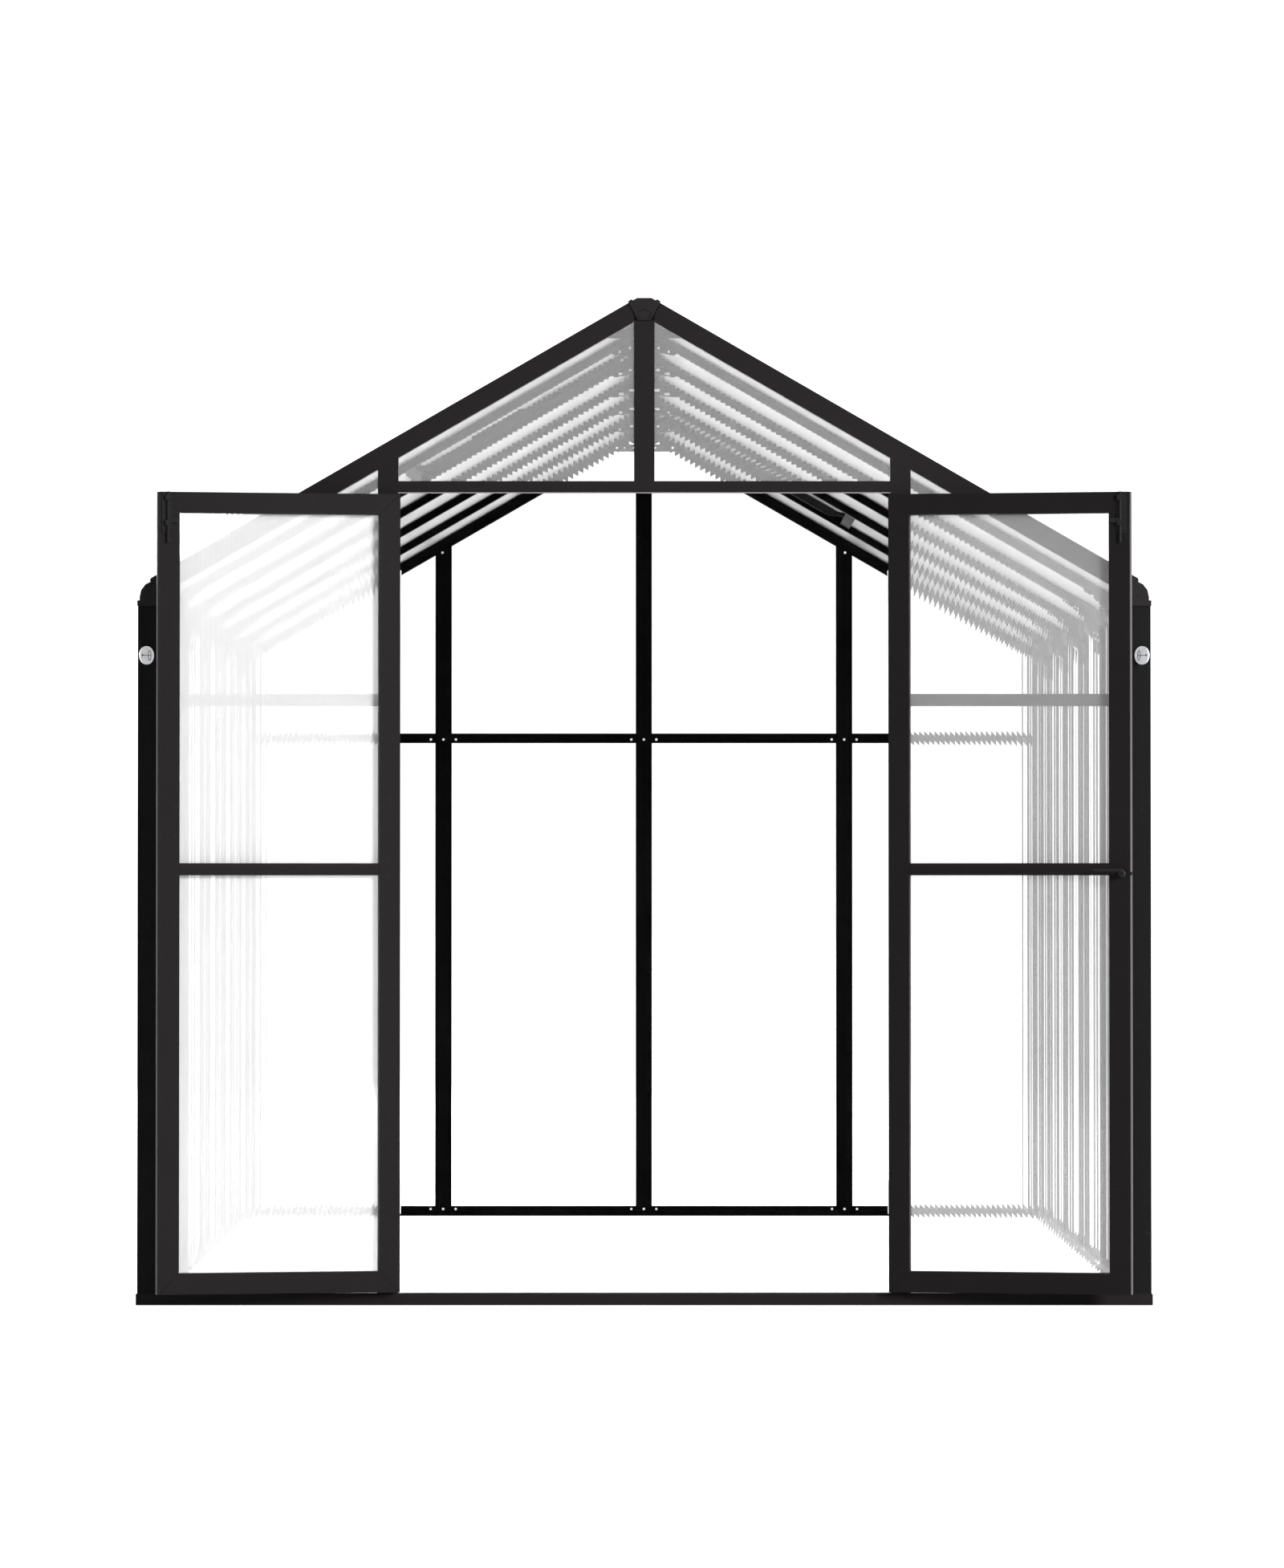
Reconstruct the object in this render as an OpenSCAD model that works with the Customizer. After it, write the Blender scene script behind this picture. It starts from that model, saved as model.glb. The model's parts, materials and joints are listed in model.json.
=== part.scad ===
// Walk-in greenhouse: an aluminium frame of slotted bars glazed with twin-wall sheet.
// X runs across the gable, Y from the front gable to the back one, Z up.
// The origin is on the ground, in the middle of the front base's outer edge.
// Places on the roof are given as x, the level distance from the ridge line, or u, the
// distance down the slope, and t, the depth below the roof's outer plane.

/* [Building] */
// Width over the base
width = 2440; // [2240:10:3050]
// Length over the base
length = 3660; // [2440:10:4880]
// Bays along each side
bays = 6; // [4:1:8]
// Height of the side posts' tops
eave_h = 1679; // [1600:1:2100]
// Height of the roof's outer plane over the post tops, at the base's outer edge
eave_lift = 47; // [46:0.5:56]
// Roof pitch in degrees
pitch = 30; // [28:1:36]
// Depth of the ridge cap's flat top below the line where the roof planes meet
crown_drop = 10.4; // [8:0.1:14]
// Underside of the front and back wall rails
rail_z = 1438; // [900:1:1560]

/* [Frame bars] */
// Width of posts
post_w = 49; // [40:1:60]
// Height of rails and of the base
rail_h = 29; // [28:0.5:40]
// Depth of the wall bars
wall_t = 30; // [26:1:40]
// How far the base stands out past the walls
base_out = 3; // [2:0.5:6]
// Thickness of the bars' outer skin in front of the sheet slot
skin = 2; // [1.2:0.1:3]
// Depth of the sheet slots
slot_d = 12; // [10:0.5:12]
// Depth of the gable rafters, square to the slope
gable_rafter_h = 46.5; // [42:0.5:56]
// Height of the inner rafters' box below the sheets
rafter_box_h = 19; // [14:0.5:30]
// Width of the inner rafters' box
rafter_w = 30; // [26:1:40]
// Width of the caps over the inner rafters
rafter_cap_w = 46; // [40:1:60]
// Thickness of the web between rafter box and cap
rafter_web = 8; // [4:0.5:10]
// Thickness of the rafters' caps and of the ridge bar's wings
cap_plate = 3; // [2:0.5:4]
// Width of the ridge bar's body
ridge_w = 50; // [48:1:60]
// Height of the ridge bar's body
ridge_h = 54; // [50:1:60]
// Level reach of the ridge bar's wings over the roof sheets
wing_over = 35; // [30:1:45]
// Level reach of its wings under the roof sheets
wing_under = 20; // [10:1:25]

/* [Sheets] */
// Thickness of the twin-wall sheet
sheet_t = 6; // [4:0.5:8]
// Clearance on each face of a sheet in its slot
sheet_fit = 0.3; // [0.1:0.05:0.5]
// How deep a sheet's edge sits in its slot
bite = 10; // [7:0.5:10]
// Depth of the roof sheets' upper face below the roof's outer plane
roof_lip_t = 9; // [8:0.5:12]

/* [Doorway and doors] */
// Clear width between the door posts
door_w = 1183; // [900:1:1250]
// Clear height of the doorway above the ground
door_h = 1950; // [1700:1:1960]
// Height of the header bar
header_h = 27; // [24:1:32]
// Gap above and below the leaves
leaf_gap = 5; // [5:0.5:8]
// Gap between the closed leaves
meeting_gap = 6.5; // [6.5:0.5:10]
// Face width of the leaves' stiles, top rail and bottom rail
leaf_bar = 50; // [40:1:60]
// Height of the middle of each leaf's mid rail
mid_rail_z = 1045.5; // [700:0.5:1300]
// Angle at which the leaves stand open
door_open = 171; // [0:1:171]
// Width of the seal along each leaf's free edge
edge_seal_w = 3.5; // [2:0.5:6]
// Thickness of the seal under the header
head_seal_t = 2; // [1:0.5:3]

/* [Hinges] */
// Height of each hinge
hinge_h = 79; // [60:1:110]
// Bottom of the lower hinges
hinge_low_z = 220; // [150:1:400]
// Bottom of the upper hinges
hinge_high_z = 1684; // [1500:1:1700]
// Radius of the knuckles
knuckle_r = 3.5; // [3:0.1:4]
// Radius of the hinge pins
hinge_pin_r = 1.5; // [1:0.1:2]
// Radial clearance of a pin in its knuckle
pin_fit = 0.05; // [0.02:0.01:0.1]
// Thickness of the hinge plates
hinge_plate = 2; // [1.5:0.1:2.2]

/* [Door hardware] */
// Height of the lever handles' spindle
handle_z = 1035; // [900:1:1100]
// Length of the levers
lever_l = 67; // [50:1:110]
// Length of the slide bolts' rods
bolt_l = 121; // [100:1:160]
// Diameter of the catch discs on the front corner posts
catch_d = 44; // [30:1:48]
// Height of the catches
catch_z = 1559; // [1200:1:1640]

/* [Roof vents] */
// Bay of the left slope that opens, counted from the front
vent_bay_left = 2; // [2:1:3]
// Bay of the right slope that opens, counted from the back
vent_bay_right = 2; // [2:1:3]
// Distance of the vents' lower edge down the slope from the ridge line
vent_low_u = 701; // [600:1:900]
// Face width of the vent frame's bars
vent_bar = 30; // [24:1:40]
// Thickness of the vent frame
vent_t = 15; // [12:0.5:16]
// Width of the sill bar under each vent's lower edge
sill_w = 31; // [28:0.5:40]
// How far the sill reaches past the vent's lower edge
sill_over = 11; // [8:0.5:14]
// Depth of the sill below the roof sheets
sill_h = 10.7; // [8:0.1:16]
// Length of the opener's arms
opener_l = 330; // [250:5:400]
// Depth of the opener's arms
opener_h = 20; // [14:0.5:24]

/* [Hidden] */
$fn = 48;

frame_colour = "#262425";
shade_colour = "#1d1c1c";
left_leaf_colour = "#302e2f";
plastic_colour = "#1a1919";
zinc_colour = "#cfcfcf";
seal_colour = "#b9b8b8";
sheet_colour = [0.85, 0.87, 0.88, 0.4];

// Gap left where bars and plates meet on the slopes
joint = 0.1;

bay = length / bays;
back_bay = width / 4;
slot_h = sheet_t + 2 * sheet_fit;
base_d = base_out + wall_t;
wall_x = width / 2 - base_out;
inner_x = wall_x - wall_t;
corner_x = wall_x - post_w;
front_y = base_out;
inner_y = front_y + wall_t;
slot_y = front_y + skin;
door_x = door_w / 2;
door_post_x = door_x + post_w;
header_z = door_h + head_seal_t;
header_top = header_z + header_h;
ridge_half = ridge_w / 2;
apex_z = eave_h + eave_lift + width / 2 * tan(pitch);
crown_z = apex_z - crown_drop;
// Half of the ridge cap's flat top
crown_half = 17;
ridge_bottom = crown_z - ridge_h;

// The roof's layers: top of caps and wings, seat of the sheets, underside of rafters
cap_t = roof_lip_t - cap_plate;
seat_t = roof_lip_t + slot_h;
rafter_bottom_t = seat_t + rafter_box_h;
// Lower end of the rafters' caps, and both ends of the roof sheets down the slope
ridge_gap = 1.7;
cap_end_x = inner_x + 6;
sheet_top_u = (ridge_half + ridge_gap + seat_t * sin(pitch)) / cos(pitch);
sheet_end_u = (cap_end_x + seat_t * sin(pitch)) / cos(pitch) - 1;
// Vent frames rest on the rafters' caps; their sills are tucked between the rafters
left_vent = min(vent_bay_left, bays - 1);
right_vent = max(bays + 1 - vent_bay_right, 2);
vent_base_t = cap_t - joint;
vent_top_t = vent_base_t - vent_t;
sill_u1 = vent_low_u + sill_over;
sill_u0 = sill_u1 - sill_w;
sill_bottom_t = seat_t + sill_h;

// Height of the plane t at x from the ridge line
function roof_z(x, t) = apex_z - x * tan(pitch) - t / cos(pitch);

module both_sides() {
    children();
    mirror([1, 0, 0]) children();
}

module at_back() {
    translate([0, length, 0]) mirror([0, 1, 0]) children();
}

module both_gables() {
    children();
    at_back() children();
}

// A plate drawn in X and Z, from y0 to y1
module upright(y0, y1) {
    translate([0, y1, 0]) rotate([90, 0, 0]) linear_extrude(y1 - y0) children();
}

// A box between two corners
module block(low, high) {
    translate(low) cube(high - low);
}

// A layer of the right slope with plumb-cut ends
module slope_layer(x0, x1, t0, t1, y0, y1) {
    upright(y0, y1) polygon([[x0, roof_z(x0, t0)], [x1, roof_z(x1, t0)],
        [x1, roof_z(x1, t1)], [x0, roof_z(x0, t1)]]);
}

// The right slope's own axes: x down the slope from the ridge line, y along the
// building, z out of the roof's outer plane
module on_slope() {
    translate([0, 0, apex_z]) rotate([0, pitch, 0]) children();
}

// A square-cut block on the right slope, u being the distance down the slope
module slope_block(u0, u1, t0, t1, y0, y1) {
    on_slope() block([u0, y0, -t1], [u1, y1, -t0]);
}

// A bar down the right slope with plumb-cut ends: its section is drawn with x along the
// building and y square to the slope, 0 being the roof's outer plane
module slope_bar(x0, x1, y) {
    spare = 60;
    intersection() {
        translate([0, y, 0]) on_slope() rotate([90, 0, 90])
            translate([0, 0, x0 / cos(pitch) - spare])
            linear_extrude((x1 - x0) / cos(pitch) + 2 * spare) children();
        block([x0, y - post_w, 0], [x1, y + post_w, apex_z + spare]);
    }
}

// ---- Sections of the bars ----

// Wall bar: outer skin on y = 0, centred on x, slotted for sheets on the sides asked
module bar_section(w, low_slot, high_slot) {
    difference() {
        translate([-w / 2, 0]) square([w, wall_t]);
        if (low_slot)
            translate([-w / 2 - 1, skin]) square([slot_d + 1, slot_h]);
        if (high_slot)
            translate([w / 2 - slot_d, skin]) square([slot_d + 1, slot_h]);
    }
}

// Base bar, x in from its outer edge, with a chamfered step outside the wall
module base_section() {
    polygon([[0, 0], [base_d, 0], [base_d, rail_h], [base_out, rail_h],
        [0, rail_h - base_out]]);
}

// Box of an inner rafter
module rafter_box_section() {
    translate([-rafter_w / 2, -rafter_bottom_t]) square([rafter_w, rafter_box_h]);
}

// Web and cap of an inner rafter, the cap's edges turned down to grip the sheets
module rafter_cap_section() {
    translate([-rafter_web / 2, -seat_t]) square([rafter_web, slot_h]);
    translate([-rafter_cap_w / 2, -roof_lip_t]) polygon([[0, 0], [rafter_cap_w, 0],
        [rafter_cap_w, 1], [rafter_cap_w - cap_plate, cap_plate], [cap_plate, cap_plate],
        [0, 1]]);
}

// Gable rafter, x in from its outer face: a lip over the gable, a ledge level with the
// inner rafters' caps, a slot for the roof sheet and one below for the gable sheets
module gable_rafter_section() {
    lip_w = 8;
    difference() {
        translate([0, -gable_rafter_h]) square([wall_t, gable_rafter_h]);
        translate([lip_w, -cap_t]) square([wall_t, cap_t + 1]);
        translate([wall_t - slot_d, -seat_t]) square([slot_d + 1, slot_h]);
        translate([skin, -gable_rafter_h - 1]) square([slot_h, slot_d + 1]);
    }
}

// ---- Base ----

// Base bar along a gable, mitred at both ends
module base_bar() {
    intersection() {
        translate([-width / 2, 0, 0]) rotate([90, 0, 90])
            linear_extrude(width) base_section();
        linear_extrude(rail_h) polygon([[-width / 2, 0], [width / 2, 0],
            [width / 2 - base_d, base_d], [-width / 2 + base_d, base_d]]);
    }
}

// Groove for the gable sheets' lower edges, from x0 to x1
module base_groove(x0, x1) {
    block([x0, slot_y, rail_h - slot_d], [x1, slot_y + slot_h, rail_h + 1]);
}

module base_front() {
    color(frame_colour) difference() {
        base_bar();
        both_sides() base_groove(door_post_x - slot_d, corner_x + slot_d);
    }
}

module base_back() {
    color(frame_colour) at_back() difference() {
        base_bar();
        base_groove(-corner_x - slot_d, corner_x + slot_d);
    }
}

module base_sides() {
    groove_x = wall_x - skin - slot_h;
    color(frame_colour) both_sides() difference() {
        intersection() {
            translate([width / 2, 0, 0]) mirror([1, 0, 0]) translate([0, length, 0])
                rotate([90, 0, 0]) linear_extrude(length) base_section();
            linear_extrude(rail_h) polygon([[width / 2, 0], [width / 2, length],
                [width / 2 - base_d, length - base_d], [width / 2 - base_d, base_d]]);
        }
        block([groove_x, front_y + post_w - slot_d, rail_h - slot_d],
            [groove_x + slot_h, length - front_y - post_w + slot_d, rail_h + 1]);
    }
}

// ---- Wall bars ----

// L-shaped corner post, with a slot for the gable sheet and one for the side sheet
module corner_post() {
    side_slot_x = wall_x - skin - slot_h;
    translate([0, 0, rail_h]) linear_extrude(eave_h - rail_h) difference() {
        polygon([[corner_x, front_y], [wall_x, front_y], [wall_x, front_y + post_w],
            [inner_x, front_y + post_w], [inner_x, inner_y], [corner_x, inner_y]]);
        translate([corner_x - 1, slot_y]) square([slot_d + 1, slot_h]);
        translate([side_slot_x, front_y + post_w - slot_d]) square([slot_h, slot_d + 1]);
    }
}

module corner_posts() {
    color(frame_colour) both_sides() both_gables() corner_post();
}

// Upright bar of a gable wall centred on x, from z0 up to z1
module gable_post(x, z0, z1, low_slot = true) {
    translate([x, front_y, z0]) linear_extrude(z1 - z0)
        bar_section(post_w, low_slot, true);
}

// Cuts away what stands above the gable rafters' underside
module trim_to_rafters() {
    difference() {
        children();
        both_sides() slope_layer(0, width, -width, gable_rafter_h, 0, base_d + 1);
    }
}

// Door posts: the doorway's side is slotted above the header only
module door_posts() {
    color(frame_colour) both_sides() difference() {
        trim_to_rafters() gable_post(door_x + post_w / 2, rail_h, crown_z, false);
        block([door_x - 1, slot_y, header_top - slot_d],
            [door_x + slot_d, slot_y + slot_h, crown_z]);
    }
}

module front_centre_post() {
    color(frame_colour) gable_post(0, header_top, ridge_bottom);
}

// Level bar between two posts, centred on z
module level_bar(x0, x1, z, h, below = true) {
    translate([x0, front_y, z]) rotate([0, 90, 0]) linear_extrude(x1 - x0)
        bar_section(h, true, below);
}

module door_header() {
    color(frame_colour)
        level_bar(-door_x, door_x, header_z + header_h / 2, header_h, false);
}

// Soft strip under the header's outer edge
module door_head_seal() {
    strip_w = 8;
    color(seal_colour)
        block([-door_x, front_y, door_h], [door_x, front_y + strip_w, header_z]);
}

module front_rails() {
    color(frame_colour) both_sides()
        level_bar(door_post_x, corner_x, rail_z + rail_h / 2, rail_h);
}

module back_posts() {
    color(shade_colour) at_back() {
        both_sides() trim_to_rafters() gable_post(back_bay, rail_h, crown_z);
        gable_post(0, rail_h, ridge_bottom);
    }
}

module back_rails() {
    color(shade_colour) at_back() both_sides() {
        level_bar(post_w / 2, back_bay - post_w / 2, rail_z + rail_h / 2, rail_h);
        level_bar(back_bay + post_w / 2, corner_x, rail_z + rail_h / 2, rail_h);
    }
}

// Posts of the right side wall, one at each inner frame
module side_posts() {
    for (i = [1:bays - 1])
        translate([wall_x, i * bay, rail_h]) rotate([0, 0, 90])
            linear_extrude(eave_h - rail_h) bar_section(post_w, true, true);
}

module side_posts_right() {
    color(shade_colour) side_posts();
}

module side_posts_left() {
    color(shade_colour) mirror([1, 0, 0]) side_posts();
}

// ---- Eaves and ridge ----

// Centre and radius of the faceted shoulder that leads from the wall up to the roof
shoulder_x = wall_x - 44;
shoulder_z = eave_h + 21;
shoulder_r = 40;
shoulder_step = 25;
// Height of the flange below the shoulder
flange_h = 13;
function shoulder(a, inset) = [shoulder_x + (shoulder_r - inset) * cos(a),
    shoulder_z + (shoulder_r - inset) * sin(a)];

// Eave bar with the side sheets' slot below and a rain channel above
module eave_beam() {
    plate = 2.5;
    flange_x = wall_x + 1;
    lip_x = inner_x + 3;
    channel_z = eave_h + 16;
    upright(inner_y, length - inner_y) difference() {
        polygon(concat([[inner_x, eave_h], [flange_x, eave_h],
            [flange_x, eave_h + flange_h], [shoulder(0, 1)[0], eave_h + flange_h]],
            [for (a = [0:shoulder_step:50]) shoulder(a, 1)],
            [for (a = [50:-shoulder_step:0]) shoulder(a, 1 + plate)],
            [[shoulder(0, 1 + plate)[0], channel_z], [lip_x, channel_z],
            [lip_x, roof_z(lip_x, seat_t + joint)],
            [inner_x, roof_z(inner_x, seat_t + joint)]]));
        translate([wall_x - skin - slot_h, eave_h - 1]) square([slot_h, slot_d + 1]);
    }
}

module eave_beam_right() {
    color(shade_colour) eave_beam();
}

module eave_beam_left() {
    color(shade_colour) mirror([1, 0, 0]) eave_beam();
}

// Moulded cap on a building corner, between post, eave bar and gable rafter: a flange,
// the shoulder, a small stop under the roof's edge, and a pocket for the sheet's corner
module eave_cap() {
    flange_x = wall_x + 1.5;
    stop_x = shoulder_x + 15.5;
    stop_h = 5;
    difference() {
        upright(0, inner_y) polygon(concat([[corner_x, eave_h], [flange_x, eave_h],
            [flange_x, eave_h + flange_h], [shoulder(0, 0)[0], eave_h + flange_h]],
            [for (a = [0:shoulder_step:75]) shoulder(a, 0)],
            [[stop_x, roof_z(stop_x, stop_h)], [stop_x - 2, roof_z(stop_x - 2, 0)],
            [corner_x, roof_z(corner_x, 0)]]));
        slope_block(corner_x, sheet_end_u + 1, roof_lip_t, seat_t, inner_y - slot_d,
            inner_y + 1);
    }
}

module eave_caps() {
    color(plastic_colour) both_sides() both_gables() eave_cap();
}

// Ridge bar: a body from gable to gable, with wings over and under the sheets' edges
module ridge_beam() {
    color(shade_colour) {
        upright(front_y, length - front_y) polygon([[-ridge_half, ridge_bottom],
            [ridge_half, ridge_bottom], [ridge_half, roof_z(ridge_half, 0)],
            [crown_half, crown_z], [-crown_half, crown_z],
            [-ridge_half, roof_z(ridge_half, 0)]]);
        both_sides() {
            slope_layer(ridge_half - 1, ridge_half + wing_over, cap_t, roof_lip_t,
                inner_y, length - inner_y);
            slope_layer(ridge_half - 1, ridge_half + wing_under, seat_t,
                seat_t + cap_plate, inner_y, length - inner_y);
        }
    }
}

// A point on the right slope, as u and t
function on_roof(u, t) = [u * cos(pitch) - t * sin(pitch),
    apex_z - u * sin(pitch) - t * cos(pitch)];

// Half of the ridge cap's outline, from its foot up to the flat top: slanted sides and a
// square lug on the roof's edge
cap_foot_half = 15;
cap_side_half = 36.5;
cap_side_rise = 40;
lug_u = [32.5, 43.5];
lug_h = 3.6;
lug_foot_t = 2.5;
function ridge_cap_half(foot_z) = [[cap_foot_half, foot_z],
    [cap_side_half, foot_z + cap_side_rise], on_roof(lug_u[1], lug_foot_t),
    on_roof(lug_u[1], -lug_h), on_roof(lug_u[0], -lug_h), on_roof(lug_u[0], 0),
    [crown_half, crown_z]];

// Keystone plate over the ridge bar and the tops of the gable rafters, with a shallow
// pointed panel in its foot
module ridge_cap() {
    foot_z = crown_z - 53.5;
    panel_low = [13, foot_z + 3];
    panel_high = [crown_half, crown_z - 35];
    panel_rise = 8.4;
    half = ridge_cap_half(foot_z);
    difference() {
        upright(0, front_y) polygon(concat(half,
            [for (i = [len(half) - 1:-1:0]) [-half[i][0], half[i][1]]]));
        upright(-1, front_y / 2) polygon([[-panel_low[0], panel_low[1]], panel_low,
            panel_high, [0, panel_high[1] + panel_rise],
            [-panel_high[0], panel_high[1]]]);
    }
}

module ridge_caps() {
    color(plastic_colour) both_gables() ridge_cap();
}

// ---- Rafters ----

module front_gable_rafters() {
    color(frame_colour) both_sides()
        slope_bar(ridge_half, corner_x, front_y) gable_rafter_section();
}

module back_gable_rafters() {
    color(shade_colour) at_back() both_sides()
        slope_bar(ridge_half, corner_x, front_y) gable_rafter_section();
}

// Inner rafters of the right slope: box, web and cap, cut back round the ridge's wings
module rafters() {
    for (i = [1:bays - 1]) {
        y = i * bay;
        difference() {
            union() {
                slope_bar(ridge_half, inner_x, y) rafter_box_section();
                slope_bar(ridge_half + wing_over + joint, cap_end_x, y)
                    rafter_cap_section();
            }
            slope_layer(0, ridge_half + wing_under + joint, 0,
                seat_t + cap_plate + joint, y - rafter_w, y + rafter_w);
        }
    }
}

module rafters_right() {
    color(shade_colour) rafters();
}

module rafters_left() {
    color(shade_colour) mirror([1, 0, 0]) rafters();
}

// ---- Gusset plates ----

gusset_t = 4;

// Arched plate that ties a pair of inner rafters under the ridge bar
module ridge_gusset(y) {
    reach = 83;
    end_w = 8;
    end_h = 5;
    rise = 9;
    edge_z = roof_z(reach, rafter_bottom_t + joint);
    top_z = roof_z(ridge_half, rafter_bottom_t + joint);
    upright(y - gusset_t / 2, y + gusset_t / 2) polygon(concat(
        [for (a = [-1:0.25:1]) [a * (reach - end_w), edge_z - end_h + rise * (1 - a * a)]],
        [[reach, edge_z], [ridge_half, top_z], [ridge_half, ridge_bottom],
        [-ridge_half, ridge_bottom], [-ridge_half, top_z], [-reach, edge_z]]));
}

// Straight plate with pointed ends on the inner face of a pair of gable rafters, its
// lower edge meeting their undersides and its upper edge just under the roof sheets
module gable_gusset() {
    half_w = 100;
    point = 10;
    foot_x = 88;
    low = roof_z(foot_x, gable_rafter_h);
    top = roof_z(half_w + point, seat_t + 1);
    middle = (low + top) / 2;
    upright(inner_y, inner_y + gusset_t) polygon([[-half_w, low], [half_w, low],
        [half_w + 2 * point, middle], [half_w + point, top], [-half_w - point, top],
        [-half_w - 2 * point, middle]]);
}

module ridge_gussets() {
    color(shade_colour) {
        for (i = [1:bays - 1]) ridge_gusset(i * bay);
        both_gables() gable_gusset();
    }
}

// Knee plate between an inner rafter and its side post, with a hollow inner edge
module eave_gusset(y) {
    reach = 85;
    drop = 65;
    end_w = 6;
    corner = [inner_x, roof_z(inner_x, rafter_bottom_t + joint)];
    top = [inner_x - reach, roof_z(inner_x - reach, rafter_bottom_t + joint)];
    foot = [inner_x, eave_h - drop];
    arch_top = top + [0, -end_w];
    arch_foot = foot + [-end_w, 0];
    pull = 0.8 * corner + 0.1 * (top + foot);
    upright(y - gusset_t / 2, y + gusset_t / 2) polygon(concat([corner, top],
        [for (s = [0:0.1:1]) pow(1 - s, 2) * arch_top + 2 * s * (1 - s) * pull
            + pow(s, 2) * arch_foot], [foot]));
}

module eave_gussets() {
    color(shade_colour) both_sides()
        for (i = [1:bays - 1]) eave_gusset(i * bay);
}

// ---- Sheets ----

sheet_y0 = slot_y + sheet_fit;
sheet_y1 = sheet_y0 + sheet_t;

// A gable wall sheet from x0 to x1, its lower edge at z0, its top at z1 or cut to the
// roof, and there kept out of the ridge bar
module gable_sheet(x0, x1, z0, z1 = undef) {
    t = gable_rafter_h - bite;
    ridge_x = max(x0, ridge_half + sheet_fit);
    top = is_undef(z1) ? [[x1, roof_z(x1, t)], [ridge_x, roof_z(ridge_x, t)],
        [ridge_x, min(roof_z(ridge_x, t), ridge_bottom - sheet_fit)],
        [x0, min(roof_z(x0, t), ridge_bottom - sheet_fit)]] : [[x1, z1], [x0, z1]];
    upright(sheet_y0, sheet_y1) polygon(concat([[x0, z0], [x1, z0]], top));
}

// The upper sheet beside a corner from x0, cut square where it would meet the eave cap
module corner_sheet(x0, z0) {
    t = gable_rafter_h - bite;
    x1 = corner_x - sheet_fit;
    foot_x = corner_x + bite;
    top_z = eave_h - sheet_fit;
    upright(sheet_y0, sheet_y1) polygon([[x0, z0], [foot_x, z0], [foot_x, top_z],
        [x1, top_z], [x1, roof_z(x1, t)], [x0, roof_z(x0, t)]]);
}

module front_sheets() {
    x0 = door_post_x - bite;
    color(sheet_colour) both_sides() {
        gable_sheet(x0, corner_x + bite, rail_h - bite, rail_z + bite);
        corner_sheet(x0, rail_z + rail_h - bite);
        gable_sheet(post_w / 2 - bite, door_x + bite, header_top - bite);
    }
}

module back_sheets() {
    inner = [post_w / 2 - bite, back_bay - post_w / 2 + bite];
    outer_x = back_bay + post_w / 2 - bite;
    color(sheet_colour) at_back() both_sides() {
        gable_sheet(inner[0], inner[1], rail_h - bite, rail_z + bite);
        gable_sheet(outer_x, corner_x + bite, rail_h - bite, rail_z + bite);
        gable_sheet(inner[0], inner[1], rail_z + rail_h - bite);
        corner_sheet(outer_x, rail_z + rail_h - bite);
    }
}

// Front and back edges of a bay's side sheet
function side_sheet_y(i) = [(i == 0 ? front_y + post_w : i * bay + post_w / 2) - bite,
    (i == bays - 1 ? length - front_y - post_w : (i + 1) * bay - post_w / 2) + bite];

module side_sheets() {
    face_x = wall_x - skin - sheet_fit;
    for (i = [0:bays - 1])
        block([face_x - sheet_t, side_sheet_y(i)[0], rail_h - bite],
            [face_x, side_sheet_y(i)[1], eave_h + bite]);
}

module side_sheets_right() {
    color(sheet_colour) side_sheets();
}

module side_sheets_left() {
    color(sheet_colour) mirror([1, 0, 0]) side_sheets();
}

// Front and back edges of a bay's roof sheet, clear of the rafters' webs
web_clear = rafter_web / 2 + 1.5;
function roof_sheet_y(i) = [i == 0 ? inner_y - bite : i * bay + web_clear,
    i == bays - 1 ? length - inner_y + bite : (i + 1) * bay - web_clear];

// Roof sheets of the right slope, the one below the vent starting in the vent's sill
module roof_sheets(vent) {
    for (i = [0:bays - 1])
        slope_block(i == vent - 1 ? sill_u1 - bite : sheet_top_u, sheet_end_u,
            roof_lip_t + sheet_fit, roof_lip_t + sheet_fit + sheet_t,
            roof_sheet_y(i)[0], roof_sheet_y(i)[1]);
}

module roof_sheets_right() {
    color(sheet_colour) roof_sheets(right_vent);
}

module roof_sheets_left() {
    color(sheet_colour) mirror([1, 0, 0]) roof_sheets(left_vent);
}

// ---- Roof vents ----

// Front and back edges of the vent in bay b
function vent_y(b) = [(b - 1) * bay + 1, b * bay - 1];

// Sill: a bar between the rafters' boxes with a pad between their caps, slotted for the
// roof sheet below
module vent_sill(b) {
    y0 = (b - 1) * bay;
    y1 = b * bay;
    difference() {
        union() {
            slope_block(sill_u0, sill_u1, roof_lip_t + joint, sill_bottom_t,
                y0 + rafter_w / 2, y1 - rafter_w / 2);
            slope_block(sill_u0, sill_u1, cap_t, roof_lip_t + 2 * joint,
                y0 + rafter_cap_w / 2, y1 - rafter_cap_w / 2);
        }
        slope_block(sill_u1 - slot_d, sill_u1 + 1, roof_lip_t, seat_t, y0, y1);
    }
}

module vent_sills() {
    color(shade_colour) {
        vent_sill(right_vent);
        mirror([1, 0, 0]) vent_sill(left_vent);
    }
}

module vent_frame(b) {
    y0 = vent_y(b)[0];
    y1 = vent_y(b)[1];
    edge = vent_bar - slot_d;
    difference() {
        slope_block(sheet_top_u, vent_low_u, vent_top_t, vent_base_t, y0, y1);
        slope_block(sheet_top_u + vent_bar, vent_low_u - vent_bar, vent_top_t - 1,
            vent_base_t + 1, y0 + vent_bar, y1 - vent_bar);
        slope_block(sheet_top_u + edge, vent_low_u - edge, vent_top_t + skin,
            vent_top_t + skin + slot_h, y0 + edge, y1 - edge);
    }
}

module vent_sheet(b) {
    edge = vent_bar - bite;
    face_t = vent_top_t + skin + sheet_fit;
    slope_block(sheet_top_u + edge, vent_low_u - edge, face_t, face_t + sheet_t,
        vent_y(b)[0] + edge, vent_y(b)[1] - edge);
}

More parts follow.
